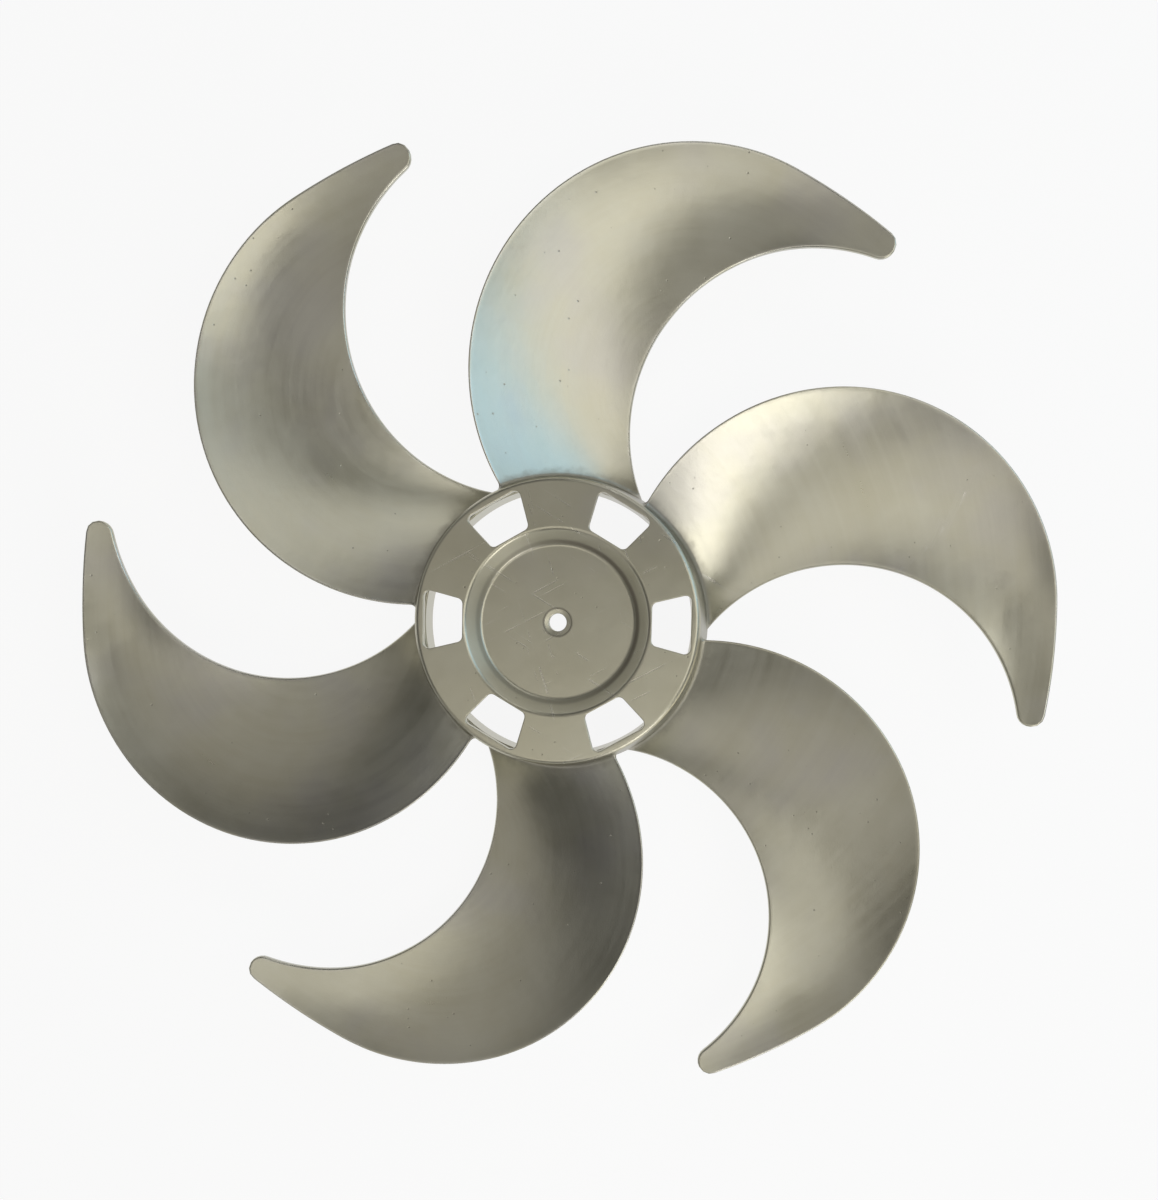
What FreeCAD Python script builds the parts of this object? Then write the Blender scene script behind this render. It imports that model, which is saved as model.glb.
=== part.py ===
import FreeCAD, Part
import Sketcher
import math
import os
from FreeCAD import Placement, Rotation, Vector

# Die-cast aluminium axial fan impeller: a cup-shaped hub with six sickle blades, cast as one piece.
# The fan axis is Z. The rear rim of the hub's skirt stands on z = 0 and the front face looks up.
# Blade 0 leaves the hub towards +Y and the tips sweep clockwise, seen from the front.

# Driving dimensions, in millimetres, degrees and plain shares
driving = [
    ("bladeCount", 6, "blades, and as many cooling windows"),
    ("tipDiameter", 500.0, "circle that the blade tips run on"),
    ("hubDepth", 60.0, "rear rim to front face"),
    ("frontRimRadius", 2.6, "rounded outer edge of the front face"),
    ("rearRimBevel", 1.0, "bevelled outer edge of the rear rim"),
    ("frontWall", 4.0, "front wall"),
    ("seatDiameter", 137.0, "machined bore that is pressed on the motor's rotor"),
    ("seatLength", 20.0, "length of that bore, back from the level of the dish's back"),
    ("seatRelief", 1.0, "relief turned wider than the bore in front of it"),
    ("seatStep", 1.0, "step from the bore out to the cast skirt"),
    ("skirtFrontWall", 3.25, "skirt round the bore, measured at the front face"),
    ("skirtFlare", 6.75, "skirt's outside at the rear rim, out from the front face by the casting draft"),
    ("skirtRearWall", 4.0, "skirt at the rear rim"),
    ("dishDiameter", 93.0, "dish in the front face, across its mouth"),
    ("dishFloorDiameter", 78.0, "flat floor of the dish"),
    ("dishDepth", 8.0, "front face to dish floor"),
    ("dishWall", 3.3, "sloping wall of the dish"),
    ("dishFloorWall", 6.0, "wall under the dish floor, whose back the rotor rests on"),
    ("dishMouthRadius", 3.0, "rounding where the face turns down into the dish"),
    ("dishFootRadius", 2.5, "rounding between the dish's wall and floor"),
    ("dishBackRadius", 3.0, "roundings of the same wall inside the cup"),
    ("shaftHoleDiameter", 9.0, "centre hole"),
    ("shaftSpotDiameter", 14.0, "shallow spot face round the centre hole"),
    ("shaftSpotDepth", 0.4, "depth of the spot face"),
    ("windowInnerLand", 1.1, "dish's mouth out to the inner side of a window"),
    ("windowOuterLand", 1.3, "outer side of a window out to the bore"),
    ("windowInnerWidth", 20.8, "window across its inner side"),
    ("windowOuterWidth", 30.8, "window across its outer side"),
    ("windowCornerRadius", 3.0, "window corners"),
    ("convexAngle", 63.1, "direction in which a blade's convex edge, a half circle, meets the tip circle"),
    ("convexStart", 30.0, "fan axis to the start of that half circle, hidden in the hub"),
    ("concaveAngle", 39.8, "direction of the centre of a blade's concave edge"),
    ("concaveStartAngle", 207.0, "start of that edge in the skirt's wall, about its own centre"),
    ("concaveTipInset", 6.0, "tip circle in to the far side of the concave edge's circle"),
    ("tipRadius", 6.6, "rounded end of a blade"),
    ("rootCover", 1.5, "seat bore out to the near side of that circle and to the apex of the blade's sheet"),
    ("sheetApexAngle", 56.5, "direction of the apex of the blade's conical sheet"),
    ("sheetApexDrop", 54.5, "front face down to the apex of its rear side"),
    ("sheetTiltAngle", 13.6, "lean of the cone's axis from the fan axis"),
    ("sheetTiltDirection", 63.4, "direction that it leans to"),
    ("sheetSlope", 25.45, "rise of the sheet's rear side, against the cone's own base"),
    ("sheetThickness", 4.2, "sheet at the apex, along the cone's axis"),
    ("sheetTipThickness", 2.6, "sheet at its far edge"),
    ("sheetInset", 35.0, "tip circle's radius less the cone's own, which just holds the blade"),
    ("partingAngle", -3.8, "half plane of the hub's sections, in the gap between two blade roots"),
]

doc = FreeCAD.newDocument("AxialFanImpeller")
sheet = doc.addObject("Spreadsheet::Sheet", "Sizes")
for row, (alias, value, meaning) in enumerate(driving, start=1):
    sheet.set("A%d" % row, alias)
    sheet.set("B%d" % row, str(value))
    sheet.set("C%d" % row, meaning)
    sheet.setAlias("B%d" % row, alias)
doc.recompute()

hub = doc.addObject("PartDesign::Body", "Hub")
blade_ring = doc.addObject("PartDesign::Body", "BladeRing")
impeller = doc.addObject("Part::MultiFuse", "Impeller")
impeller.Label = "impeller"


def size(expression):
    # value of an expression on the sheet's aliases
    return float(sheet.evalExpression(expression))


def origin_feature(body, role):
    return [item for item in body.Origin.OriginFeatures if item.Role == role][0]


def sketch_on(body, role, name):
    sketch = body.newObject("Sketcher::SketchObject", name)
    sketch.AttachmentSupport = [(origin_feature(body, role), "")]
    sketch.MapMode = "FlatFace"
    return sketch


def bind(sketch, constraint, expression):
    index = sketch.addConstraint(constraint)
    sketch.setExpression("Constraints[%d]" % index, expression)


def hold_corner(sketch, line, across, along):
    # hold the start of a line at two expressions, measured from the sketch's origin
    for kind, axis, expression in (("DistanceX", -2, across), ("DistanceY", -1, along)):
        value = size(expression)
        if value == 0.0:
            sketch.addConstraint(Sketcher.Constraint("PointOnObject", line, 1, axis))
        else:
            bind(sketch, Sketcher.Constraint(kind, -1, 1, line, 1, value), expression)


def draw_section(sketch, corners):
    # closed outline of straight lines; each corner is a pair of expressions
    points = [Vector(size(across), size(along), 0) for across, along in corners]
    count = len(points)
    for line in range(count):
        sketch.addGeometry(Part.LineSegment(points[line], points[(line + 1) % count]), False)
    for line in range(count):
        sketch.addConstraint(Sketcher.Constraint("Coincident", line, 2, (line + 1) % count, 1))
        hold_corner(sketch, line, *corners[line])


def turned(body, kind, name, corners):
    # a section turned about the fan axis, as added or removed metal
    section = sketch_on(body, "XZ_Plane", name + "Section")
    section.AttachmentOffset = Placement(Vector(), Rotation(Vector(0, 1, 0), size("Sizes.partingAngle")))
    draw_section(section, corners)
    feature = body.newObject("PartDesign::" + kind, name)
    feature.Profile = section
    feature.ReferenceAxis = (section, ["V_Axis"])
    feature.Angle = 360.0
    doc.recompute()
    return feature


def around_axis(body, name, original=None):
    # pattern of one feature, or of the whole body where none is given
    pattern = body.newObject("PartDesign::PolarPattern", name)
    if original:
        pattern.Originals = [original]
    else:
        pattern.TransformMode = "Whole shape"
    pattern.Axis = (origin_feature(body, "Z_Axis"), [""])
    pattern.Angle = 360.0
    pattern.setExpression("Occurrences", "Sizes.bladeCount")
    body.Tip = pattern
    doc.recompute()
    return pattern


def rings(base, places):
    # names of the circles about the fan axis, given by level and radius expressions
    wanted = [(size(level), size(radius)) for level, radius in places]
    found = []
    for number, edge in enumerate(base.Shape.Edges, start=1):
        if not isinstance(edge.Curve, Part.Circle):
            continue
        centre = edge.Curve.Center
        for level, radius in wanted:
            close = abs(edge.Curve.Radius - radius) < 0.01 and abs(centre.z - level) < 0.01
            if close and math.hypot(centre.x, centre.y) < 0.01:
                found.append("Edge%d" % number)
    return found


def rounded(name, base, places, radius):
    feature = hub.newObject("PartDesign::Fillet", name)
    feature.Base = (base, rings(base, places))
    feature.setExpression("Radius", radius)
    doc.recompute()
    return feature


def bevelled(name, base, places, width):
    feature = hub.newObject("PartDesign::Chamfer", name)
    feature.Base = (base, rings(base, places))
    feature.setExpression("Size", width)
    doc.recompute()
    return feature


# Outside of the hub: the wall round the bore sets its front, and the draft its rear
front_radius = "(Sizes.seatDiameter / 2 + Sizes.skirtFrontWall)"
rear_radius = "(Sizes.seatDiameter / 2 + Sizes.skirtFrontWall + Sizes.skirtFlare)"

# Hub blank: a frustum of solid metal
hub_blank = turned(hub, "Revolution", "HubBlank", [
    ("0", "0"),
    (rear_radius, "0"),
    (front_radius, "Sizes.hubDepth"),
    ("0", "Sizes.hubDepth"),
])

# Outer edges of the hub
front_rim = rounded("FrontRim", hub_blank, [("Sizes.hubDepth", front_radius)], "Sizes.frontRimRadius")
bevelled("RearRim", front_rim, [("0", rear_radius)], "Sizes.rearRimBevel")

# Cup: cast skirt, seat bore, relief in front of it, and the backs of the front wall and the dish
dish_run = "(Sizes.dishDiameter - Sizes.dishFloorDiameter) / 2"
dish_level = "Sizes.hubDepth - Sizes.dishDepth"
front_wall_back = "Sizes.hubDepth - Sizes.frontWall"
seat_end = dish_level + " - Sizes.dishFloorWall"


def dish_back_radius(below_face):
    # the dish's wall is an even thickness, so its back runs parallel to its front
    slope_length = "sqrt((%s) ^ 2 + Sizes.dishDepth ^ 2)" % dish_run
    front = "Sizes.dishDiameter / 2 - %s * (%s) / Sizes.dishDepth" % (dish_run, below_face)
    return front + " + Sizes.dishWall * %s / Sizes.dishDepth" % slope_length


wall_corner = dish_back_radius("Sizes.frontWall")
floor_corner = dish_back_radius("Sizes.dishDepth + Sizes.dishFloorWall")
turned(hub, "Groove", "Cup", [
    ("0", "0"),
    (rear_radius + " - Sizes.skirtRearWall", "0"),
    ("Sizes.seatDiameter / 2 + Sizes.seatStep", seat_end + " - Sizes.seatLength - Sizes.seatStep"),
    ("Sizes.seatDiameter / 2", seat_end + " - Sizes.seatLength"),
    ("Sizes.seatDiameter / 2", seat_end),
    ("Sizes.seatDiameter / 2 + Sizes.seatRelief", seat_end),
    ("Sizes.seatDiameter / 2 + Sizes.seatRelief", front_wall_back),
    (wall_corner, front_wall_back),
    (floor_corner, seat_end),
    ("0", seat_end),
])

# Dish in the front face, then its roundings in front and inside the cup
dish = turned(hub, "Groove", "Dish", [
    ("0", dish_level),
    ("Sizes.dishFloorDiameter / 2", dish_level),
    ("Sizes.dishDiameter / 2", "Sizes.hubDepth"),
    ("0", "Sizes.hubDepth"),
])
mouth_edge = ("Sizes.hubDepth", "Sizes.dishDiameter / 2")
dish_mouth = rounded("DishMouth", dish, [mouth_edge], "Sizes.dishMouthRadius")
foot_edge = (dish_level, "Sizes.dishFloorDiameter / 2")
dish_foot = rounded("DishFoot", dish_mouth, [foot_edge], "Sizes.dishFootRadius")
back_edges = [(front_wall_back, wall_corner), (seat_end, floor_corner)]
rounded("DishBack", dish_foot, back_edges, "Sizes.dishBackRadius")


# Cooling windows through the front wall, between dish and rim
def rounded_outline(corners, radius):
    # lines and corner arcs of a closed outline
    arcs = []
    ends = []
    for number, corner in enumerate(corners):
        back = (corners[number - 1] - corner).normalize()
        ahead = (corners[(number + 1) % len(corners)] - corner).normalize()
        half_angle = back.getAngle(ahead) / 2
        inward = (back + ahead).normalize()
        start = corner + back * (radius / math.tan(half_angle))
        finish = corner + ahead * (radius / math.tan(half_angle))
        nearest = corner + inward * (radius / math.sin(half_angle) - radius)
        arcs.append(Part.Arc(start, nearest, finish))
        ends.append((start, finish))
    lines = [Part.LineSegment(ends[number - 1][1], ends[number][0]) for number in range(len(ends))]
    return arcs + lines


inner_reach = size("Sizes.dishDiameter / 2 + Sizes.windowInnerLand")
outer_reach = size("Sizes.seatDiameter / 2 - Sizes.windowOuterLand")
inner_half = size("Sizes.windowInnerWidth / 2")
outer_half = size("Sizes.windowOuterWidth / 2")
window_outline = sketch_on(hub, "XY_Plane", "WindowOutline")
window_outline.setExpression("AttachmentOffset.Base.z", "Sizes.hubDepth")
window_outline.addGeometry(rounded_outline([
    Vector(outer_reach, outer_half, 0),
    Vector(inner_reach, inner_half, 0),
    Vector(inner_reach, -inner_half, 0),
    Vector(outer_reach, -outer_half, 0),
], size("Sizes.windowCornerRadius")), False)
window = hub.newObject("PartDesign::Pocket", "Window")
window.Profile = window_outline
window.setExpression("Length", "Sizes.frontWall + Sizes.dishBackRadius")
doc.recompute()
around_axis(hub, "Windows", window)


# Centre hole with its spot face
def round_pocket(name, diameter, level, depth):
    circle = sketch_on(hub, "XY_Plane", name + "Circle")
    circle.setExpression("AttachmentOffset.Base.z", level)
    circle.addGeometry(Part.Circle(Vector(0, 0, 0), Vector(0, 0, 1), size(diameter) / 2), False)
    circle.addConstraint(Sketcher.Constraint("Coincident", 0, 3, -1, 1))
    bind(circle, Sketcher.Constraint("Diameter", 0, size(diameter)), diameter)
    pocket = hub.newObject("PartDesign::Pocket", name)
    pocket.Profile = circle
    pocket.setExpression("Length", depth)
    doc.recompute()
    return pocket


round_pocket("ShaftSpot", "Sizes.shaftSpotDiameter", dish_level, "Sizes.shaftSpotDepth")
hub.Tip = round_pocket("ShaftHole", "Sizes.shaftHoleDiameter", dish_level, "2 * Sizes.dishFloorWall")


# Blade sheet: the metal between two like cones whose common axis leans towards the blade's tip
def polar(reach, degrees):
    return Vector(reach * math.cos(math.radians(degrees)), reach * math.sin(math.radians(degrees)), 0)


root_reach = size("Sizes.seatDiameter / 2 + Sizes.rootCover")
apex = polar(root_reach, size("Sizes.sheetApexAngle"))
apex.z = size("Sizes.hubDepth - Sizes.sheetApexDrop")
lean = Rotation(polar(1, size("Sizes.sheetTiltDirection") + 90), size("Sizes.sheetTiltAngle"))
upright = Rotation(Vector(1, 0, 0), 90)
sheet_section = sketch_on(blade_ring, "XY_Plane", "BladeSheetSection")
sheet_section.AttachmentOffset = Placement(apex, lean * upright)
sheet_reach = "(Sizes.tipDiameter / 2 - Sizes.sheetInset)"
sheet_rise = sheet_reach + " * tan(Sizes.sheetSlope * 1deg)"
draw_section(sheet_section, [
    ("0", "0"),
    (sheet_reach, sheet_rise),
    (sheet_reach, sheet_rise + " + Sizes.sheetTipThickness"),
    ("0", "Sizes.sheetThickness"),
])
blade_sheet = blade_ring.newObject("PartDesign::Revolution", "BladeSheet")
blade_sheet.Profile = sheet_section
blade_sheet.ReferenceAxis = (sheet_section, ["V_Axis"])
blade_sheet.Angle = 360.0
doc.recompute()

# Blade outline, seen from the front
tip_reach = size("Sizes.tipDiameter / 2")
tip_radius = size("Sizes.tipRadius")
convex_radius = (tip_reach - size("Sizes.convexStart")) / 2
convex_direction = size("Sizes.convexAngle")
convex_centre = polar(tip_reach - convex_radius, convex_direction)
concave_radius = (tip_reach - size("Sizes.concaveTipInset") - root_reach) / 2
concave_reach = root_reach + concave_radius
concave_direction = size("Sizes.concaveAngle")
concave_centre = polar(concave_reach, concave_direction)

# The rounded end touches the tip circle from inside and the concave arc from outside
end_reach = tip_reach - tip_radius
end_cosine = (end_reach ** 2 + concave_reach ** 2 - (concave_radius + tip_radius) ** 2) / (
    2 * end_reach * concave_reach)
end_direction = concave_direction + math.degrees(math.acos(end_cosine))
end_centre = polar(end_reach, end_direction)
from_concave_centre = end_centre - concave_centre
end_to_concave = math.degrees(math.atan2(-from_concave_centre.y, -from_concave_centre.x))


def arc(centre, radius, start, finish):
    # arc about a centre, from one direction to another through the one half-way
    return Part.Arc(centre + polar(radius, start), centre + polar(radius, (start + finish) / 2),
                    centre + polar(radius, finish))


convex_edge = arc(convex_centre, convex_radius, convex_direction + 180, convex_direction)
tip_edge = arc(Vector(0, 0, 0), tip_reach, convex_direction, end_direction)
end_edge = arc(end_centre, tip_radius, end_direction, end_to_concave)
concave_edge = arc(concave_centre, concave_radius, end_to_concave + 180, size("Sizes.concaveStartAngle"))

# The sheet is cut away outside the outline, as far out as a circle that clears it
outline = sketch_on(blade_ring, "XY_Plane", "BladeOutline")
outline.addGeometry([
    convex_edge,
    tip_edge,
    end_edge,
    concave_edge,
    Part.LineSegment(concave_edge.EndPoint, convex_edge.StartPoint),
    Part.Circle(Vector(0, 0, 0), Vector(0, 0, 1), size("Sizes.tipDiameter")),
], False)
blade = blade_ring.newObject("PartDesign::Pocket", "Blade")
blade.Profile = outline
blade.Type = "ThroughAll"
blade.Midplane = True
doc.recompute()

# The blade ends in the middle of the skirt's wall, so nothing of it shows in the cup
turned(blade_ring, "Groove", "RootTrim", [
    ("0", "0"),
    (rear_radius + " - Sizes.skirtRearWall / 2", "0"),
    (front_radius + " - Sizes.skirtFrontWall / 2", "Sizes.hubDepth"),
    ("0", "Sizes.hubDepth"),
])
around_axis(blade_ring, "Blades")

# One casting
impeller.Shapes = [hub, blade_ring]
impeller.Refine = True
doc.recompute()

# Every object is up to date and the casting is one valid solid before it is written
for item in doc.Objects:
    if "Invalid" in item.State or "Error" in item.State:
        raise RuntimeError("%s could not be built" % item.Name)
casting = impeller.Shape
if casting.isNull() or not casting.isValid() or len(casting.Solids) != 1:
    raise RuntimeError("the casting is not one valid solid")
print("casting: %.1f cm3, %d faces" % (casting.Volume / 1000, len(casting.Faces)))

os.makedirs("parts", exist_ok=True)
casting.exportStep("parts/%s.step" % impeller.Label)
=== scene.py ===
import bpy
import bmesh
import math
from mathutils import Matrix, Vector


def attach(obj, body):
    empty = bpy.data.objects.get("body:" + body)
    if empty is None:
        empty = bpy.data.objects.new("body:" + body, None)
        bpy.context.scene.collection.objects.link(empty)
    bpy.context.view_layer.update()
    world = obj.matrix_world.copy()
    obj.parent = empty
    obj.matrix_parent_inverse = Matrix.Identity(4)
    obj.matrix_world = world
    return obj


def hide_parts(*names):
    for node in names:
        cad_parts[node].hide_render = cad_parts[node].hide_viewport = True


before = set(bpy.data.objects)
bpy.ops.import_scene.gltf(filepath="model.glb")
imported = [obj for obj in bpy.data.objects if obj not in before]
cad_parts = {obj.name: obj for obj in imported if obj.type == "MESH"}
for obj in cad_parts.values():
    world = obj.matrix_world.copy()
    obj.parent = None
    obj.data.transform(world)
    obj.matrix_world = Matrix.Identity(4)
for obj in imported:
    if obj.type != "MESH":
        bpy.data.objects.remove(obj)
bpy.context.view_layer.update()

# camera, at the photograph's viewing angle: the fan lies on its rear rim, its front face up
camera = {
    "frontFace": 0.060,            # height of the hub's front face, which the camera is placed from
    "distance": 0.5973,
    "aside": (-0.01126, 0.05889),  # how far the hub lies right of and above the view's axis
    "tilt": 6.405,
    "roll": -30.149,
    "windowTurn": 28.724,          # the windows stand turned by this much in the photograph
    "focalLength": 35.82,
    "shift": (0.0, 0.1167),
}


def addCamera(spec):
    def turn(degrees, axis):
        return Matrix.Rotation(math.radians(degrees), 3, axis)
    toView = turn(spec["roll"], "Z") @ turn(spec["tilt"], "X") @ turn(spec["windowTurn"], "Z")
    toPart = toView.transposed()
    place = toPart @ Vector((-spec["aside"][0], -spec["aside"][1], spec["distance"]))
    place += Vector((0, 0, spec["frontFace"]))
    data = bpy.data.cameras.new("photoCamera")
    data.sensor_width = 36
    data.lens = spec["focalLength"]
    data.shift_x, data.shift_y = spec["shift"]
    data.clip_start = 0.01
    obj = bpy.data.objects.new("photoCamera", data)
    bpy.context.collection.objects.link(obj)
    obj.matrix_world = Matrix.Translation(place) @ toPart.to_4x4()
    bpy.context.scene.camera = obj
    return toPart


pictureAxes = addCamera(camera)  # columns: right, up and towards the camera
print("camera placed")


# node maths: a wrapped socket that takes the usual operators
class Sock:
    def __init__(self, tree, socket):
        self.tree = tree
        self.socket = socket

    def math(self, operation, *values, clamp=False):
        settings = {"operation": operation, "use_clamp": clamp}
        return self.tree.node("ShaderNodeMath", settings, values)

    def __add__(self, other):
        return self.math("ADD", self, other)

    def __radd__(self, other):
        return self.math("ADD", other, self)

    def __sub__(self, other):
        return self.math("SUBTRACT", self, other)

    def __rsub__(self, other):
        return self.math("SUBTRACT", other, self)

    def __mul__(self, other):
        return self.math("MULTIPLY", self, other)

    def __rmul__(self, other):
        return self.math("MULTIPLY", other, self)

    def __truediv__(self, other):
        return self.math("DIVIDE", self, other)

    def __rtruediv__(self, other):
        return self.math("DIVIDE", other, self)

    def __pow__(self, other):
        return self.math("POWER", self, other)

    def __abs__(self):
        return self.math("ABSOLUTE", self)

    def larger(self, other):
        return self.math("MAXIMUM", self, other)

    def smaller(self, other):
        return self.math("MINIMUM", self, other)

    def clamped(self):
        return self.math("ADD", self, 0.0, clamp=True)


class Nodes:
    def __init__(self, nodeTree):
        self.nodeTree = nodeTree
        self.nodeTree.nodes.clear()

    def node(self, kind, settings=None, inputs=(), out=0):
        made = self.nodeTree.nodes.new(kind)
        for key, value in (settings or {}).items():
            setattr(made, key, value)
        pairs = inputs.items() if isinstance(inputs, dict) else enumerate(inputs)
        for key, value in pairs:
            if isinstance(value, Sock):
                self.nodeTree.links.new(value.socket, made.inputs[key])
            elif value is not None:
                made.inputs[key].default_value = value
        return Sock(self, made.outputs[out]) if len(made.outputs) else None

    def outputsOf(self, kind, inputs=()):
        return self.node(kind, {}, inputs).socket.node.outputs


# the casting: a turned cup with six windows, and six sickle blades cut from a conical sheet
hub = {
    "rearRadius": 0.0785,
    "frontRadius": 0.07175,
    "depth": 0.060,
    "facets": 288,
    "skirtRings": 14,
    "cornerSteps": 7,
    # radius, height and rounding of each corner of the turned section
    "section": [
        (0.0045, 0.0460, 0.0003), (0.0379, 0.0460, 0.0030), (0.0473, 0.0560, 0.0030),
        (0.0695, 0.0560, 0.0006), (0.0695, 0.0460, 0.0004), (0.0685, 0.0460, 0.0002),
        (0.0685, 0.0260, 0.0003), (0.0695, 0.0250, 0.0003), (0.0745, 0.0000, 0.0004),
        (0.0775, 0.0000, 0.0003), (0.07839, 0.0010, 0.0004), (0.07175, 0.0600, 0.0026),
        (0.0465, 0.0600, 0.0030), (0.0390, 0.0520, 0.0025), (0.0070, 0.0520, 0.0002),
        (0.0070, 0.0516, 0.0001), (0.0045, 0.0516, 0.0003),
    ],
}
window = {
    "count": 6,
    "corners": [(0.0476, -0.0104), (0.0672, -0.0154), (0.0672, 0.0154), (0.0476, 0.0104)],
    "cornerRadius": 0.0030,
    "cornerSteps": 8,
    "mouthRounding": 0.0005,
    "mouthSteps": 6,
    "bottom": 0.053,
    "above": 0.002,               # how far the cutter stands out of the hub's face
}
blade = {
    "count": 6,
    # each arc of the plan: its centre's radius and angle, and its own radius
    "convex": (0.140, 63.1, 0.10998),
    "tip": (0.0, 0.0, 0.24998),
    "nose": (0.2434, 50.372, 0.00658),
    "concave": (0.157, 39.8, 0.087),
    "edgeStarts": (216.0, 219.8),  # where the two edges start, inside the skirt's wall
    # the sheet's cone: where its tip lies, how far and which way its axis leans
    "apex": (0.070, 56.5, 0.0055),
    "lean": (13.6, 63.4),
    "slope": 25.45,
    "thickness": 0.0042,
    "thinning": 0.0016 / 0.215,
    "cupping": (0.10, 0.42),       # how far the slope turns across: at the root, and added to it
    "flatTip": 0.045,              # the cupping fades where the blade is narrower than this
    "edgeRounding": 0.0010,
    "rootFillet": 0.0030,
    "filletSink": 0.00005,         # the fillet's foot dips this far into the skirt
    "wallReach": 0.0012,
    "lanes": 28,
    "edgeSteps": 4,
    "filletSteps": 6,
    "rows": 84,
    "rowCrowding": 0.11,           # closer rows at the root and round the nose
    "streakRadius": 0.1,           # radius on which the way along a blade is measured
}
smallRounding = 0.0008             # roundings up to this size take two steps


def polar(radius, degrees, height=None):
    x, y = radius * math.cos(math.radians(degrees)), radius * math.sin(math.radians(degrees))
    return Vector((x, y)) if height is None else Vector((x, y, height))


def roundedCorners(corners, steps):
    points = []
    for i, (x, y, radius) in enumerate(corners):
        here = Vector((x, y))
        back = (Vector(corners[i - 1][:2]) - here).normalized()
        ahead = (Vector(corners[(i + 1) % len(corners)][:2]) - here).normalized()
        half = back.angle(ahead) / 2
        middle = here + (back + ahead).normalized() * (radius / math.sin(half))
        reach = radius / math.tan(half)
        first = (here + back * reach - middle).normalized()
        last = (here + ahead * reach - middle).normalized()
        count = steps if radius > smallRounding else 2
        points += [middle + first.slerp(last, step / count) * radius for step in range(count + 1)]
    return points


def makeObject(name, points, faces):
    mesh = bpy.data.meshes.new(name)
    mesh.from_pydata([tuple(p) for p in points], [], faces)
    work = bmesh.new()
    work.from_mesh(mesh)
    bmesh.ops.remove_doubles(work, verts=work.verts, dist=1e-7)
    bmesh.ops.dissolve_degenerate(work, edges=work.edges, dist=1e-8)
    bmesh.ops.recalc_face_normals(work, faces=work.faces)
    work.to_mesh(mesh)
    work.free()
    obj = bpy.data.objects.new(name, mesh)
    bpy.context.collection.objects.link(obj)
    return obj


def turnedHub(spec):
    section = roundedCorners(spec["section"], spec["cornerSteps"])
    rings, facets = spec["skirtRings"], spec["facets"]
    outline = []
    for here, ahead in zip(section, section[1:] + section[:1]):
        outline.append(here)
        if (ahead - here).length > spec["depth"] / 2 and min(here.x, ahead.x) > 0.07:
            outline += [here.lerp(ahead, i / rings) for i in range(1, rings)]  # the skirt's side
    size = len(outline)
    points = []
    for i in range(facets):
        angle = 2 * math.pi * i / facets
        points += [Vector((p.x * math.cos(angle), p.x * math.sin(angle), p.y)) for p in outline]
    faces = []
    for i in range(facets):
        here, ahead = i * size, (i + 1) % facets * size
        for j in range(size):
            following = (j + 1) % size
            faces.append((here + j, here + following, ahead + following, ahead + j))
    return makeObject("hubTurning", points, faces)


def windowCutter(spec):
    mouth, steps = spec["mouthRounding"], spec["mouthSteps"]
    base = roundedCorners([(x, y, spec["cornerRadius"]) for x, y in spec["corners"]],
                          spec["cornerSteps"])
    loops = [(spec["bottom"], 0.0)]  # height of each loop, and how far out of the base it lies
    for step in range(steps + 1):
        angle = math.pi / 2 * step / steps
        loops.append((hub["depth"] - mouth + mouth * math.sin(angle),
                      mouth * (1 - math.cos(angle))))
    loops.append((hub["depth"] + spec["above"], mouth))
    outward = []
    for i in range(len(base)):
        along = base[(i + 1) % len(base)] - base[i - 1]
        outward.append(Vector((along.y, -along.x)).normalized())
    size = len(base)
    points = [(p.x + n.x * out, p.y + n.y * out, height)
              for height, out in loops for p, n in zip(base, outward)]
    faces = []
    for k in range(len(loops) - 1):
        for j in range(size):
            low, following = k * size, (j + 1) % size
            faces.append((low + j, low + following, low + size + following, low + size + j))
    faces.append(tuple(range(size))[::-1])
    faces.append(tuple(range((len(loops) - 1) * size, len(loops) * size)))
    return makeObject("windowCutter", points, faces)


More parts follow.
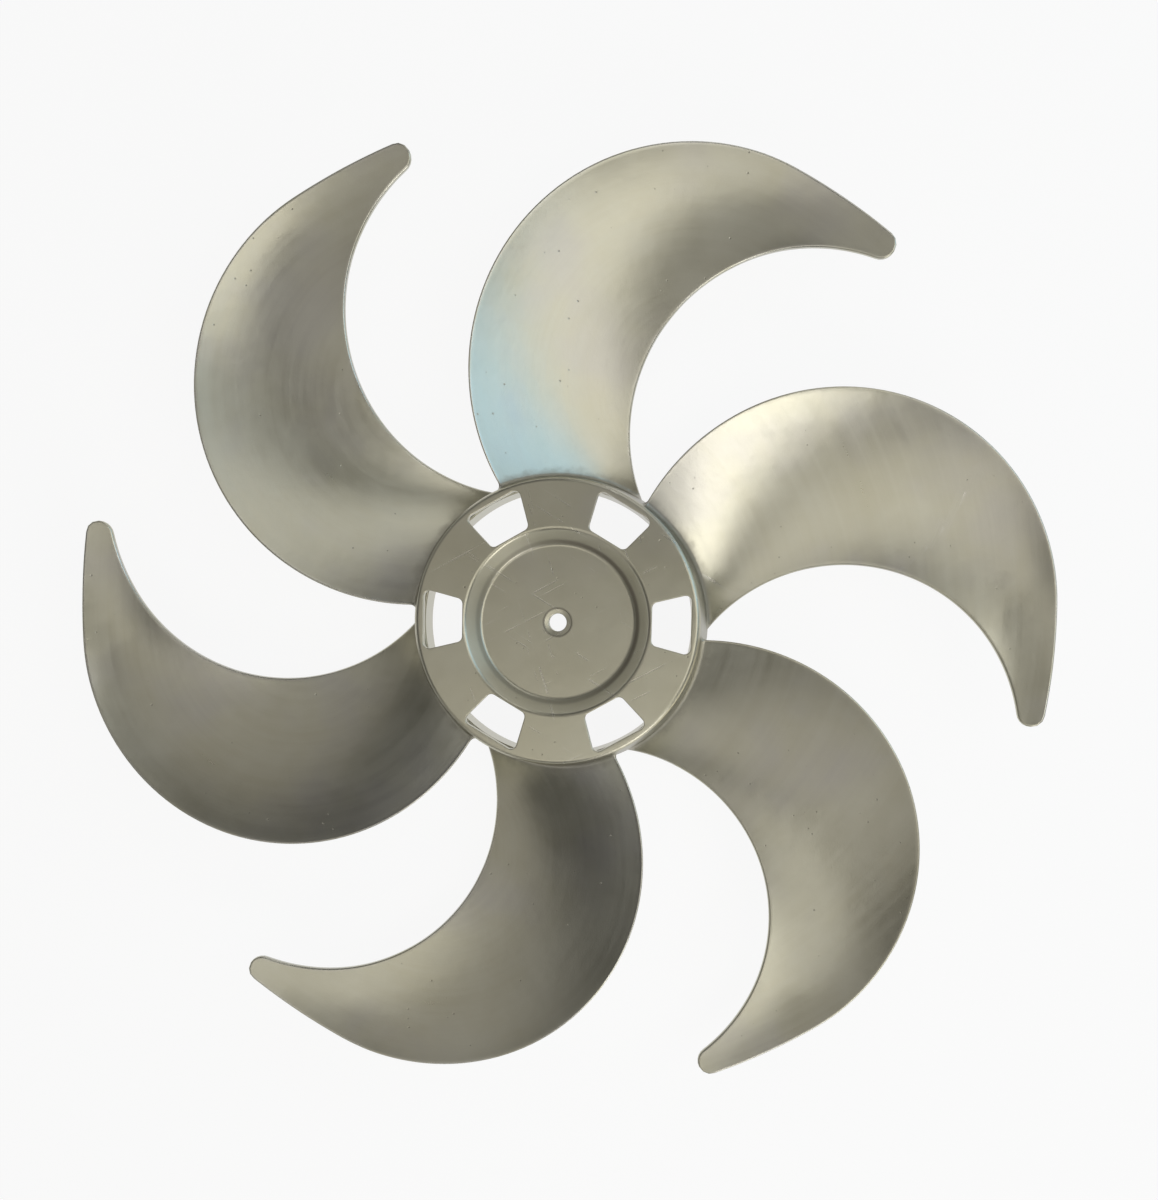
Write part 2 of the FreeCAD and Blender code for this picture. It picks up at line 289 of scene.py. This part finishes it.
class SickleBlade:
    def __init__(self, spec):
        self.spec = spec
        centre = {name: polar(*spec[name][:2]) for name in ("convex", "tip", "nose", "concave")}
        self.centre, self.radius = centre, {name: spec[name][2] for name in centre}

        toNose = centre["nose"] - centre["concave"]
        concaveEnd = math.degrees(math.atan2(toNose.y, toNose.x))
        noseStart, noseEnd = spec["nose"][1], concaveEnd - 180
        noseMiddle = (noseStart + noseEnd) / 2
        tipStart = spec["convex"][1]
        # arcs of each edge: name, first angle, last angle, and which way is out of the blade
        self.edges = [
            [("convex", spec["edgeStarts"][0], tipStart, 1), ("tip", tipStart, noseStart, 1),
             ("nose", noseStart, noseMiddle, 1)],
            [("concave", spec["edgeStarts"][1], concaveEnd, -1),
             ("nose", noseEnd, noseMiddle, 1)],
        ]
        lean = math.radians(spec["lean"][0])
        self.apex = polar(*spec["apex"])
        self.axis = polar(math.sin(lean), spec["lean"][1], math.cos(lean))
        self.slope = math.tan(math.radians(spec["slope"]))
        self.draft = math.atan2(hub["rearRadius"] - hub["frontRadius"], hub["depth"])
        # lanes across half of the section: part (0 convex rounding, 1 flat, 2 concave rounding)
        # and place in it
        count, steps = spec["lanes"], spec["edgeSteps"]
        rounding = [i / steps for i in range(1, steps + 1)]
        flat = [(1 - math.cos(math.pi * i / count)) / 2 * 0.55 + 0.45 * i / count
                for i in range(count + 1)]
        self.lanes = [(0, t) for t in reversed(rounding)]
        self.lanes += [(1, t) for t in flat] + [(2, t) for t in rounding]

    def edge(self, side, u):  # point and outward way on the convex (0) or concave (1) edge
        arcs = [(name, a, b, out, abs(math.radians(b - a)) * self.radius[name])
                for name, a, b, out in self.edges[side]]
        left = u * sum(arc[4] for arc in arcs)
        for name, a, b, out, length in arcs:
            if left <= length or name == "nose":
                ray = polar(1, a + (b - a) * min(left / length, 1))
                return self.centre[name] + ray * self.radius[name], ray * out
            left -= length

    def height(self, p, front):  # of the cone's front or rear face above a point of the plan
        start, growth = 0, self.slope
        if front:
            start, growth = self.spec["thickness"], self.slope - self.spec["thinning"]
        z = hub["depth"] / 2
        for _ in range(8):
            v = Vector((p.x, p.y, z)) - self.apex
            h = v.dot(self.axis)
            r = (v - self.axis * h).length
            rate = self.axis.z - growth * (v.z - self.axis.z * h) / max(r, 1e-6)
            z -= (h - start - growth * r) / rate
        return z

    def point(self, lane, front, u):
        part, t = lane
        left, leftOut = self.edge(0, u)
        right, rightOut = self.edge(1, u)
        r = self.spec["edgeRounding"]
        across, drop = 1.0, 0.0
        if part == 1:
            p = (left - leftOut * r).lerp(right - rightOut * r, t)
            across = (2 * t - 1) ** 2
        else:
            foot, out = (left, leftOut) if part == 0 else (right, rightOut)
            turn = math.pi / 2 * t
            p = foot - out * r * (1 - math.sin(turn))
            drop = r * (1 - math.cos(turn))
        outward = (p.length - hub["rearRadius"]) / (self.radius["tip"] - hub["rearRadius"])
        atRoot, growth = self.spec["cupping"]
        cup = atRoot + growth * min(max(outward, 0), 1)
        width = (right - left).length
        cup *= min(width / self.spec["flatTip"], 1) ** 2
        z = self.height(p, front) + width * cup / 8 * (across - 0.5)
        return Vector((p.x, p.y, z - drop if front else z + drop))

    def clearOfSkirt(self, p):
        skirt = hub["rearRadius"] - math.tan(self.draft) * p.z
        return (math.hypot(p.x, p.y) - skirt) * math.cos(self.draft)

    def reach(self, lane, front, distance):  # where along a lane it stands this far off the skirt
        low, high = 0.0, 0.4
        for _ in range(40):
            middle = (low + high) / 2
            if self.clearOfSkirt(self.point(lane, front, middle)) < distance:
                low = middle
            else:
                high = middle
        return high

    def column(self, index, front):  # points from inside the wall, round the fillet, to the nose
        lane, fillet = self.lanes[index], self.spec["rootFillet"]
        u = self.reach(lane, front, 0)
        root = self.point(lane, front, u)
        neighbours = [max(0, min(len(self.lanes) - 1, index + i)) for i in (-1, 1)]
        beside = [self.point(self.lanes[i], front, u) for i in neighbours]
        ahead = self.point(lane, front, u + 1e-4)
        out = (beside[1] - beside[0]).cross(ahead - root).normalized()
        middle = (self.point((1, 0.5), True, u) + self.point((1, 0.5), False, u)) / 2
        onFlat = lane[0] == 1
        if onFlat and (out.z > 0) != front or not onFlat and out.dot(root - middle) < 0:
            out.negate()
        skirtOut = Vector((root.x, root.y, 0)).normalized() * math.cos(self.draft)
        skirtOut.z = math.sin(self.draft)
        facing = out.dot(skirtOut)
        ball = root + (out + skirtOut) * (fillet / (1 + facing))
        start = self.reach(lane, front, fillet * (1 - facing))
        onBlade = self.point(lane, front, start)
        onSkirt = ball - skirtOut * fillet
        onSkirt -= skirtOut * (self.clearOfSkirt(onSkirt) + self.spec["filletSink"])
        bladeMiss = onBlade - ball + out * fillet
        skirtMiss = onSkirt - ball + skirtOut * fillet
        steps, rows = self.spec["filletSteps"], self.spec["rows"]
        points = [onSkirt - skirtOut * self.spec["wallReach"]]
        for i in range(steps + 1):
            t = 1 - i / steps
            p = ball - out.slerp(skirtOut, t) * fillet
            points.append(p + bladeMiss * (1 - t) + skirtMiss * t)
        for i in range(1, rows + 1):
            t = i / rows
            t -= self.spec["rowCrowding"] * math.sin(2 * math.pi * t) / math.pi
            points.append(self.point(lane, front, start + (1 - start) * t))
        return points

    def build(self):
        upper = [self.column(i, True) for i in range(len(self.lanes))]
        lower = [self.column(i, False) for i in range(len(self.lanes))]
        columns = upper + lower[::-1]
        count, length = len(columns), len(columns[0])
        points = [p for column in columns for p in column]
        faces = []
        for k in range(count):
            here, ahead = k * length, (k + 1) % count * length
            faces += [(here + i, here + i + 1, ahead + i + 1, ahead + i)
                      for i in range(length - 1)]
        for i in range(len(self.lanes) - 1):  # the end inside the wall
            ends = (i, i + 1, count - 2 - i, count - 1 - i)
            faces.append(tuple(end * length for end in ends))
        return makeObject("sickleBlade", points, faces)

    def measure(self, p):  # distances from the two edges and the skirt, and the way along
        flat = Vector((p.x, p.y))
        ray = flat - self.centre["convex"]
        way = math.atan2(ray.y, ray.x)
        pastTip = -math.pi / 2 < way < math.radians(self.spec["convex"][1])
        fromConvex = self.radius["convex"] - ray.length
        if pastTip:  # there the tip circle is the edge
            fromConvex = self.radius["tip"] - flat.length
        fromConcave = (flat - self.centre["concave"]).length - self.radius["concave"]
        along = way % math.tau * self.spec["streakRadius"]
        return fromConvex, fromConcave, self.clearOfSkirt(p), along


def assembleCasting(hubPiece, cutter, bladePiece, material):
    given = {
        "Window cutter": ("NodeSocketObject", cutter),
        "Window count": ("NodeSocketInt", window["count"]),
        "Blade": ("NodeSocketObject", bladePiece),
        "Blade count": ("NodeSocketInt", blade["count"]),
        "Finish": ("NodeSocketMaterial", material),
    }
    group = bpy.data.node_groups.new("castingFromParts", "GeometryNodeTree")
    face = group.interface
    face.new_socket("Geometry", in_out="INPUT", socket_type="NodeSocketGeometry")
    identifiers = {name: face.new_socket(name, in_out="INPUT", socket_type=kind).identifier
                   for name, (kind, _) in given.items()}
    face.new_socket("Geometry", in_out="OUTPUT", socket_type="NodeSocketGeometry")
    g = Nodes(group)
    entry = {socket.name: Sock(g, socket) for socket in g.outputsOf("NodeGroupInput")}

    def ring(piece, count):  # copies of one piece, turned evenly round the fan's axis
        spots = g.node("GeometryNodeMeshLine", {"mode": "OFFSET"},
                       {"Count": count, "Offset": (0, 0, 0)})
        turn = g.node("GeometryNodeInputIndex") * math.tau / count
        angles = g.node("ShaderNodeCombineXYZ", {}, {"Z": turn})
        shape = g.node("GeometryNodeObjectInfo", {"transform_space": "ORIGINAL"},
                       {"Object": piece}, out="Geometry")
        copies = g.node("GeometryNodeInstanceOnPoints", {},
                        {"Points": spots, "Instance": shape, "Rotation": angles})
        return g.node("GeometryNodeRealizeInstances", {}, {"Geometry": copies})

    windows = ring(entry["Window cutter"], entry["Window count"])
    pierced = g.node("GeometryNodeMeshBoolean", {"operation": "DIFFERENCE", "solver": "EXACT"},
                     {"Mesh 1": entry["Geometry"], "Mesh 2": windows})
    blades = ring(entry["Blade"], entry["Blade count"])
    joined = g.node("GeometryNodeMeshBoolean", {"operation": "UNION", "solver": "EXACT"},
                    {"Mesh 2": pierced})
    g.nodeTree.links.new(blades.socket, joined.socket.node.inputs["Mesh 2"])
    smooth = g.node("GeometryNodeSetShadeSmooth", {}, {"Geometry": joined, "Shade Smooth": True})
    whole = g.node("GeometryNodeRealizeInstances", {}, {"Geometry": smooth})
    dressed = g.node("GeometryNodeSetMaterial", {},
                     {"Geometry": whole, "Material": entry["Finish"]})
    g.node("NodeGroupOutput", {}, {"Geometry": dressed})
    modifier = hubPiece.modifiers.new("casting", "NODES")
    modifier.node_group = group
    for name, (_, value) in given.items():
        modifier[identifiers[name]] = value
    weighted = hubPiece.modifiers.new("evenShading", "WEIGHTED_NORMAL")
    weighted.weight = 60
    weighted.keep_sharp = False
    graph = bpy.context.evaluated_depsgraph_get()
    made = bpy.data.meshes.new_from_object(hubPiece.evaluated_get(graph))
    casting = bpy.data.objects.new("impellerCasting", made)
    bpy.context.collection.objects.link(casting)
    for piece in (hubPiece, cutter, bladePiece):
        bpy.data.objects.remove(piece)
    return casting


# blasted die-cast aluminium, handled at its edges, with dust in its pits and painted shade in its
# corners
castFinish = {
    "paleMetal": (0.57, 0.56, 0.475),
    "oliveMetal": (0.44, 0.42, 0.32),
    "greyMetal": (0.46, 0.445, 0.42),
    "wornMetal": (0.62, 0.615, 0.59),
    "scuffMetal": (0.62, 0.61, 0.58),
    # this colour darkens both the dust in the pits and the painted shade in the blades' roots and
    # at the dish's foot
    "dustAndShade": (0.17, 0.15, 0.12),
    # how much of each colour shows where its pattern is full
    "paleClouds": (0.25, 0.5),      # everywhere, and added in the clouds
    "greyPatches": 0.6,
    "paleStreaks": 0.22,
    "oliveBands": 0.25,
    "oliveHub": 0.35,
    "wornEdges": 0.5,
    "scuffShine": 0.3,
    "pitDust": 0.5,
    "roughness": 0.32,
    "roughnessSpread": 0.14,
    # sizes of the patterns, in metres
    "cloudSize": 0.055,
    "patchSize": 1 / 14,
    "grainSize": 0.0007,
    "grainHeight": 0.000025,
    "swellSize": 0.012,
    "swellHeight": 0.00012,
    "streakLength": 0.12,
    "streakWidth": 0.0035,
    "streakHeight": 0.00002,
    "bandLength": 0.16,
    "bandWidth": 0.022,
    "pitSpacing": 1 / 170,
    "pitDepth": 0.0001,
    "edgeWidth": 0.0022,
    "cornerWidth": 0.007,
    "cornerRagged": 0.010,
    # the hub's face starts at these radii and heights, and two rings of it are darker: painted
    # shade at the dish's foot, and a ring round the middle hole
    "faceEdge": (0.0735, 0.0715),
    "faceHeight": (0.048, 0.0505),
    "dishFoot": 0.0405,
    "spotFace": 0.0072,
    # scuffs: the way each set runs, and the spacing of its breaks
    "scuffs": [(0.5, 1 / 90), (1.9, 1 / 120), (2.6, 1 / 75)],
    "scuffLength": 1 / 8,
    "scuffWidth": 1 / 620,
    "scuffDepth": 0.00002,
}


def castAluminium(spec):
    material = bpy.data.materials.new("castAluminium")
    material.use_nodes = True
    s = Nodes(material.node_tree)
    place = s.node("ShaderNodeTexCoord", out="Object")

    def noise(vector, scale, detail=3.0, rough=0.5):
        return s.node("ShaderNodeTexNoise", {}, {"Vector": vector, "Scale": scale,
                                                 "Detail": detail, "Roughness": rough})

    def blend(share, first, second):
        first, second = (c if isinstance(c, Sock) else (*c, 1) for c in (first, second))
        return s.node("ShaderNodeMix", {"data_type": "RGBA"}, {0: share, 6: first, 7: second},
                      out=2)

    def between(value, low, high):  # 0 below low, 1 above high, smooth between
        return s.node("ShaderNodeMapRange", {"interpolation_type": "SMOOTHSTEP"},
                      {"Value": value, "From Min": low, "From Max": high})

    def vector(x, y, z):
        return s.node("ShaderNodeCombineXYZ", {}, [x, y, z])

    # places on the blades: distances from the two edges and from the skirt, and the way along
    bladePlace = s.node("ShaderNodeAttribute", {"attribute_name": "bladePlace"}, out="Vector")
    split = s.outputsOf("ShaderNodeSeparateXYZ", [bladePlace])
    fromConvex, fromConcave, fromSkirt = (Sock(s, split[i]) for i in range(3))
    along = s.node("ShaderNodeAttribute", {"attribute_name": "bladeAlong"}, out="Fac")
    xyz = s.outputsOf("ShaderNodeSeparateXYZ", [place])
    x, y, z = (Sock(s, xyz[i]) for i in range(3))
    radius = (x * x + y * y) ** 0.5
    onHub = between(radius, *spec["faceEdge"]) * between(z, *spec["faceHeight"])

    # long soft streaks and bands that follow the blades, and faint scuffs across the hub's face
    drawn = vector(along / spec["streakLength"], fromConvex / spec["streakWidth"], 0.0)
    streak = noise(drawn, 1.0, 4.0, 0.55)
    banded = vector(along / spec["bandLength"], fromConvex / spec["bandWidth"], 3.0)
    broad = noise(banded, 1.0, 2.0)
    scuffs = None
    for turn, spacing in spec["scuffs"]:
        length = spec["scuffLength"]
        turned = s.node("ShaderNodeMapping", {"vector_type": "TEXTURE"}, {
            "Vector": place, "Rotation": (0, 0, turn),
            "Scale": (length, spec["scuffWidth"], length)})
        breaks = between(noise(place, 1 / spacing, 1.0), 0.45, 0.6)
        line = between(noise(turned, 1.0, 2.0), 0.66, 0.74) * breaks
        scuffs = line if scuffs is None else scuffs.larger(line)
    scuffs = scuffs * onHub

    cloud = noise(place, 1 / spec["cloudSize"], 4.0, 0.6)
    elsewhere = s.node("ShaderNodeVectorMath", {"operation": "ADD"}, [place, (3.1, 1.7, 0.4)])
    patch = noise(elsewhere, 1 / spec["patchSize"], 3.0, 0.55)
    grain = noise(place, 1 / spec["grainSize"], 2.0, 0.6)
    swell = noise(place, 1 / spec["swellSize"], 2.0)
    cells = s.node("ShaderNodeTexVoronoi", {}, {"Vector": place, "Scale": 1 / spec["pitSpacing"]})
    pits = between(cells, 0.1, 0.04) * between(noise(place, 60.0, 1.0), 0.52, 0.6)

    fewest, added = spec["paleClouds"]
    clouds = fewest + added * between(cloud, 0.28, 0.70)
    metal = blend(clouds, spec["oliveMetal"], spec["paleMetal"])
    metal = blend(between(patch, 0.46, 0.68) * spec["greyPatches"], metal, spec["greyMetal"])
    metal = blend(between(streak, 0.35, 0.65) * spec["paleStreaks"], metal, spec["paleMetal"])
    olive = between(broad, 0.5, 0.75) * spec["oliveBands"] + onHub * spec["oliveHub"]
    metal = blend(olive, metal, spec["oliveMetal"])
    edge = fromConvex.smaller(fromConcave)
    handled = between(noise(place, 45.0, 4.0), 0.3, 0.6)
    worn = between(edge, spec["edgeWidth"], 0.0) * handled
    metal = blend(worn * spec["wornEdges"], metal, spec["wornMetal"])
    metal = blend(scuffs * spec["scuffShine"], metal, spec["scuffMetal"])

    # painted shade: darker in the blades' roots and at the foot of the dish, more on one side of
    # it; and a darker ring round the middle hole
    # painted shade: darker where a blade meets the skirt, with a ragged edge
    ragged = (noise(place, 130.0, 4.0, 0.65) - 0.5) * spec["cornerRagged"]
    corner = between(fromSkirt + ragged, spec["cornerWidth"], 0.0)
    # painted shade: a dark ring at the foot of the dish
    foot = between(abs(radius - spec["dishFoot"]), 0.0018, 0.0004)
    foot = foot * between(z, 0.0565, 0.0535) * between(z, 0.047, 0.0505)
    # painted shade: the dish's foot is painted darker on one side
    shadedSide = between(x * 0.96 + y * 0.28, -0.01, 0.035)
    foot = foot * (0.75 + shadedSide * 0.8)
    spot = between(abs(radius - spec["spotFace"]), 0.0008, 0.0002) * onHub
    # painted shade in the roots and at the dish's foot, and the darker ring round the hole; blended
    # below in the dark colour, and made rougher and less metallic
    paintedShadeAndHoleRing = (corner * 0.40).larger(foot * 0.55).larger(spot * 0.6)
    metal = blend(paintedShadeAndHoleRing, metal, spec["dustAndShade"])
    metal = blend(pits * spec["pitDust"], metal, spec["dustAndShade"])

    roughness = spec["roughness"] + (cloud - 0.5) * spec["roughnessSpread"]
    roughness = roughness + (streak - 0.5) * 0.10 + (grain - 0.5) * 0.05
    roughness = roughness + paintedShadeAndHoleRing * 0.22 - worn * 0.07 - scuffs * 0.06
    height = grain * spec["grainHeight"] + swell * spec["swellHeight"]
    height = height + streak * spec["streakHeight"]
    height = height - pits * spec["pitDepth"] - scuffs * spec["scuffDepth"]
    bump = s.node("ShaderNodeBump", {}, {"Height": height, "Distance": 1.0, "Strength": 1.0})
    surface = s.node("ShaderNodeBsdfPrincipled", {}, {
        "Base Color": metal,
        "Metallic": 1.0 - paintedShadeAndHoleRing * 0.5,
        "Roughness": roughness.clamped(),
        "Normal": bump,
    })
    s.node("ShaderNodeOutputMaterial", {}, {"Surface": surface})
    return material


def markBlades(mesh, shape):  # gives each point of a blade its place between the edges
    count = blade["count"]
    edgeSlack, skirtSlack = 0.0003, 0.0002
    turns = [Matrix.Rotation(-math.tau * i / count, 3, "Z") for i in range(count)]
    places, ways = [], []
    for vertex in mesh.vertices:
        place, way = (1.0, 1.0, 1.0), 0.0
        if math.hypot(vertex.co.x, vertex.co.y) > hub["frontRadius"]:
            for i, turn in enumerate(turns):
                convex, concave, skirt, far = shape.measure(turn @ vertex.co)
                if min(convex, concave) > -edgeSlack and skirt > -skirtSlack:
                    place = (max(convex, 0.0), max(concave, 0.0), max(skirt, 0.0))
                    way = far + i  # each blade has a pattern of its own
                    break
        places += place
        ways.append(way)
    mesh.attributes.new("bladePlace", "FLOAT_VECTOR", "POINT")
    mesh.attributes.new("bladeAlong", "FLOAT", "POINT")
    mesh.attributes["bladePlace"].data.foreach_set("vector", places)
    mesh.attributes["bladeAlong"].data.foreach_set("value", ways)


sickle = SickleBlade(blade)
bladePiece = sickle.build()
print("one blade made,", len(bladePiece.data.polygons), "faces")
casting = assembleCasting(turnedHub(hub), windowCutter(window), bladePiece,
                          castAluminium(castFinish))
markBlades(casting.data, sickle)
print("casting joined,", len(casting.data.polygons), "faces")
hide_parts("impeller")
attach(casting, "root")

# studio: pale floor and soft lamps overhead, most to the right of the picture, a weak one left
studio = {
    "floorSize": 14.0,
    "floorGap": 0.0001,
    "floorPaint": (0.9, 0.9, 0.9, 1),
    "floorGlow": 0.9,
    "lampDistance": 1.75,
    # name, watts, side, way round the picture from its right, rise towards the camera, colour
    "lamps": [
        ("window", 4.4, 0.9, 16, 37, (0.50, 0.76, 1.0)),
        ("upperRight", 2.4, 0.9, 66, 47, (1.0, 0.99, 0.95)),
        ("lowerRight", 6.3, 0.8, 300, 29, (1.0, 0.98, 0.95)),
        ("overhead", 4.5, 1.0, 348, 63, (1.0, 0.98, 0.93)),
        ("overheadLow", 2.8, 1.0, 268, 66, (1.0, 0.97, 0.90)),
        ("low", 1.7, 1.0, 236, 40, (1.0, 0.96, 0.90)),
        ("left", 1.7, 1.2, 160, 66, (1.0, 0.96, 0.90)),
    ],
    "worldLevel": 0.09,
    "bandTop": 0.30,
}


def addFloor(spec):
    half, low = spec["floorSize"] / 2, -spec["floorGap"]
    corners = [(-half, -half, low), (half, -half, low), (half, half, low), (-half, half, low)]
    mesh = bpy.data.meshes.new("floor")
    mesh.from_pydata(corners, [], [(0, 1, 2, 3)])
    floor = bpy.data.objects.new("floor", mesh)
    bpy.context.collection.objects.link(floor)
    material = bpy.data.materials.new("palePaper")
    material.use_nodes = True
    s = Nodes(material.node_tree)
    rays = s.outputsOf("ShaderNodeLightPath")
    seen = (Sock(s, rays["Is Camera Ray"]) + Sock(s, rays["Is Glossy Ray"])).clamped()
    paint = s.node("ShaderNodeBsdfDiffuse", {}, {"Color": spec["floorPaint"]})
    glow = s.node("ShaderNodeEmission", {}, {"Color": (1, 1, 1, 1), "Strength": 1.0})
    paper = s.node("ShaderNodeMixShader", {}, [seen * spec["floorGlow"], paint, glow])
    below = s.node("ShaderNodeNewGeometry", out="Backfacing")  # clear when seen from below
    clear = s.node("ShaderNodeBsdfTransparent")
    surface = s.node("ShaderNodeMixShader", {}, [below, paper, clear])
    s.node("ShaderNodeOutputMaterial", {}, {"Surface": surface})
    mesh.materials.append(material)


def addLight(name, power, size, way, rise, colour):
    data = bpy.data.lights.new(name, "AREA")
    data.energy = power
    data.size = size
    data.color = colour
    obj = bpy.data.objects.new(name, data)
    bpy.context.collection.objects.link(obj)
    level, up = math.cos(math.radians(rise)), math.sin(math.radians(rise))
    right, above = math.cos(math.radians(way)) * level, math.sin(math.radians(way)) * level
    spot = pictureAxes @ Vector((right, above, up)) * studio["lampDistance"]
    facing = (-spot).to_track_quat("-Z", "Y").to_matrix().to_4x4()
    obj.matrix_world = Matrix.Translation(spot) @ facing


# dim room with a pale band along the horizon, which metal shows too, and a white background
def setWorld(level, bandTop):
    world = bpy.data.worlds.new("studio")
    bpy.context.scene.world = world
    world.use_nodes = True
    s = Nodes(world.node_tree)
    rays = s.outputsOf("ShaderNodeLightPath")
    direction = s.node("ShaderNodeTexCoord", out="Generated")
    rise = Sock(s, s.outputsOf("ShaderNodeSeparateXYZ", [direction])["Z"])
    band = s.node("ShaderNodeMapRange", {"interpolation_type": "SMOOTHSTEP"},
                  {"Value": rise, "From Min": bandTop, "From Max": bandTop / 2})
    mirrored = Sock(s, rays["Is Glossy Ray"]) + Sock(s, rays["Is Transmission Ray"])
    share = (Sock(s, rays["Is Camera Ray"]) + mirrored * band).clamped()
    strength = level + share * (1 - level)
    light = s.node("ShaderNodeBackground", {}, {"Color": (1, 1, 1, 1), "Strength": strength})
    s.node("ShaderNodeOutputWorld", {}, {"Surface": light})


addFloor(studio)
for lamp in studio["lamps"]:
    addLight(*lamp)
setWorld(studio["worldLevel"], studio["bandTop"])
bpy.context.scene.view_settings.view_transform = "Standard"
print("studio lit")
